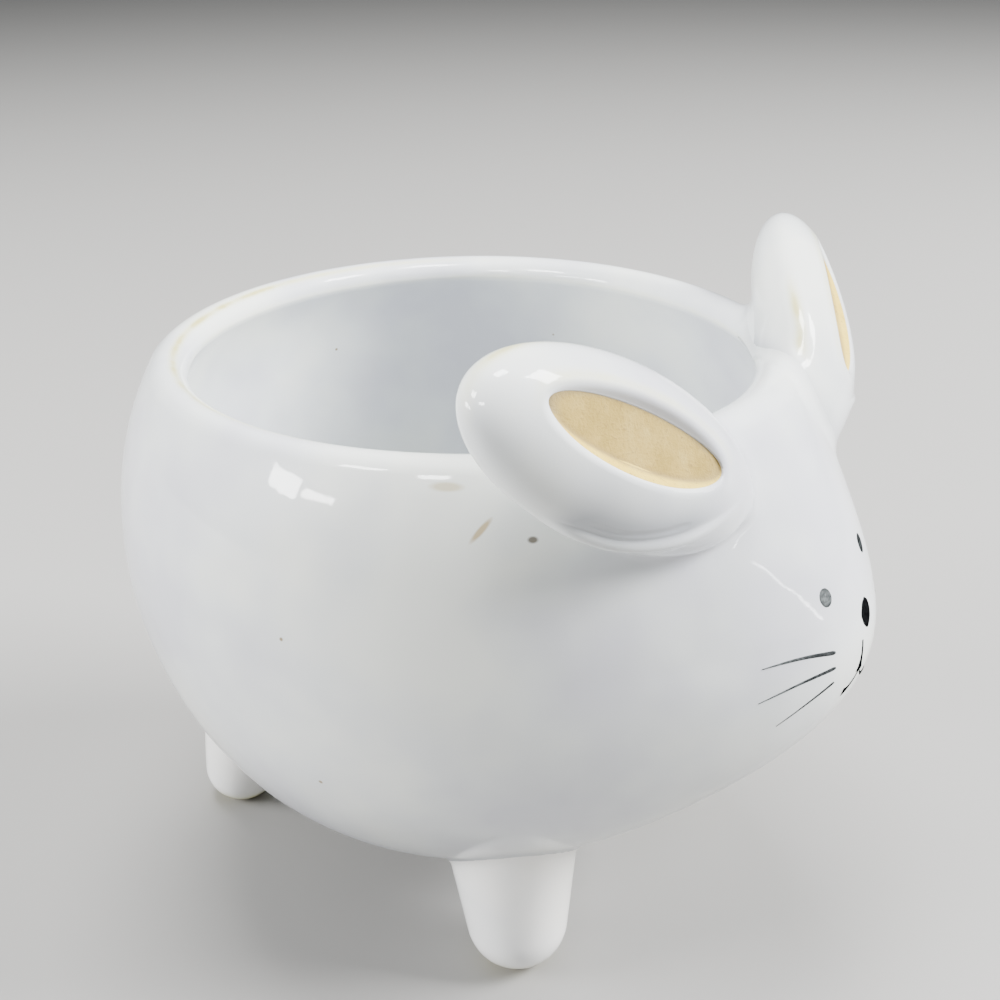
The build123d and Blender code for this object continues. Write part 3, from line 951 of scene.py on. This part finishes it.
# The whiskers: three strokes a side, each with its length, its rise over that and its width, that
# bow upwards a little and run dry at their tips.
whisker_rows = ((13.0, 0.10, 0.82), (13.8, -0.14, 0.74), (10.0, -0.50, 0.6))
top_whisker = 73.4
whisker_gap = 2.85
whisker_bow = 0.05
for whisker_name, side, root in (("right", -1, 10.4 * mm), ("left", 1, 13.0 * mm)):
    strokes = []
    for row, (length, rise, wide) in enumerate(whisker_rows):
        out = side * (root + length * mm * way)
        bowed = rise * way + whisker_bow * np.sin(np.pi * way)
        up = (top_whisker - whisker_gap * row) * mm + length * mm * bowed
        width = wide * mm * np.minimum((way + 0.02) / 0.06, 1) ** 0.5 * (1.03 - way) ** 0.6
        strokes.append(brush_stroke(out, up, width))
    whiskers = closed_skin("painted_whiskers_" + whisker_name, strokes)
    dry = np.append(np.repeat(0.3 + 0.7 * way**2, strokes[0][0].shape[1]), [0.3, 1.0])
    point_values(whiskers, "worn", np.tile(dry, len(strokes)))
    whiskers.data.materials.append(underglaze)
    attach(whiskers, "root")
    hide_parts("whiskers_" + whisker_name)


# The floor: a plain pale painted sheet on which the feet's pads rest.
floor_size = 12.0
bpy.ops.mesh.primitive_plane_add(size=floor_size, location=(0, 0, 0))
floor = bpy.context.object
floor.name = "studio_floor"
floor_paint = bpy.data.materials.new("pale_floor_paint")
floor_paint.use_nodes = True
floor_shader = floor_paint.node_tree.nodes["Principled BSDF"]
floor_shader.inputs["Base Color"].default_value = linear("#949391")
floor_shader.inputs["Roughness"].default_value = 0.7
floor.data.materials.append(floor_paint)

# Light: broad soft light from overhead, from the left and from before the face, which the glaze
# doesn't mirror, and the windows that it does and that light nothing: panes behind at the left,
# overhead and at the camera's side, and a thin slanted strip low before the face. Each light has
# its place in metres, width, height, slant in degrees, power, and whether it is only mirrored.
lights = (
    ("left_light", (-0.75, 0.88, 0.45), 0.6, 0.6, 0, 36.0, False),
    ("face_light", (0.6, -0.9, 0.78), 0.6, 0.6, 0, 76.0, False),
    ("top_light", (0.1, 0.15, 1.25), 0.6, 0.6, 0, 35.0, False),
    ("shoulder_pane", (-0.86, 0.48, 0.457), 0.20, 0.12, 0, 4.6, True),
    ("shoulder_side_pane", (-0.955, 0.27, 0.457), 0.18, 0.05, 0, 1.7, True),
    ("near_pane", (-0.816, -0.256, 0.71), 0.18, 0.08, 0, 2.8, True),
    ("roof_pane", (-0.06, -0.22, 1.2), 0.24, 0.20, 0, 9.0, True),
    ("high_pane", (-0.76, 0.15, 0.86), 0.24, 0.17, 0, 7.6, True),
    ("front_high_pane", (0.22, -0.546, 0.94), 0.24, 0.20, 0, 9.0, True),
    ("low_strip", (0.108, -0.646, 0.092), 0.24, 0.010, -40, 0.28, True),
)
light_aim = np.array([0, 0, 0.07])
for light_name, spot, wide, high, slant, power, mirrored in lights:
    lamp = bpy.data.lights.new(light_name, "AREA")
    lamp.shape = "RECTANGLE"
    lamp.size = wide
    lamp.size_y = high
    lamp.energy = power
    holder = bpy.data.objects.new(light_name, lamp)
    bpy.context.scene.collection.objects.link(holder)
    holder.visible_camera = False
    holder.visible_diffuse = not mirrored
    holder.visible_glossy = mirrored
    back = np.array(spot) - light_aim
    back /= np.linalg.norm(back)
    level = np.cross([0, 0, 1], back)
    level /= np.linalg.norm(level)
    above = np.cross(back, level)
    turned = np.radians(slant)
    right = np.cos(turned) * level + np.sin(turned) * above
    up = np.cos(turned) * above - np.sin(turned) * level
    holder.matrix_world = Matrix([
        [right[0], up[0], back[0], spot[0]],
        [right[1], up[1], back[1], spot[1]],
        [right[2], up[2], back[2], spot[2]],
        [0, 0, 0, 1],
    ])
world = bpy.data.worlds.new("pale_surround")
world.use_nodes = True
surround = world.node_tree.nodes["Background"]
surround.inputs["Color"].default_value = linear("#DDE1E4")
surround.inputs["Strength"].default_value = 0.27
bpy.context.scene.world = world

# The camera stands before the rabbit's right side, above the rim and looking down at it. Its
# focal length is in pixels of a square frame, and its angles are in degrees.
camera_spot = np.array([-201.2, -127.9, 194.0]) * mm
yaw, pitch, tilt = np.radians([32.58, 25.63, -0.77])
frame_pixels = 1000
focal_pixels = 1355.8
sensor_width = 36
view = np.array([np.cos(yaw) * np.cos(pitch), np.sin(yaw) * np.cos(pitch), -np.sin(pitch)])
level = np.cross(view, [0, 0, 1])
level /= np.linalg.norm(level)
above = np.cross(level, view)
right = np.cos(tilt) * level + np.sin(tilt) * above
up = -np.sin(tilt) * level + np.cos(tilt) * above
lens = bpy.data.cameras.new("photo_camera")
lens.sensor_width = sensor_width
lens.lens = focal_pixels * sensor_width / frame_pixels
camera = bpy.data.objects.new("photo_camera", lens)
bpy.context.scene.collection.objects.link(camera)
camera.matrix_world = Matrix([
    [right[0], up[0], -view[0], camera_spot[0]],
    [right[1], up[1], -view[1], camera_spot[1]],
    [right[2], up[2], -view[2], camera_spot[2]],
    [0, 0, 0, 1],
])
bpy.context.scene.camera = camera
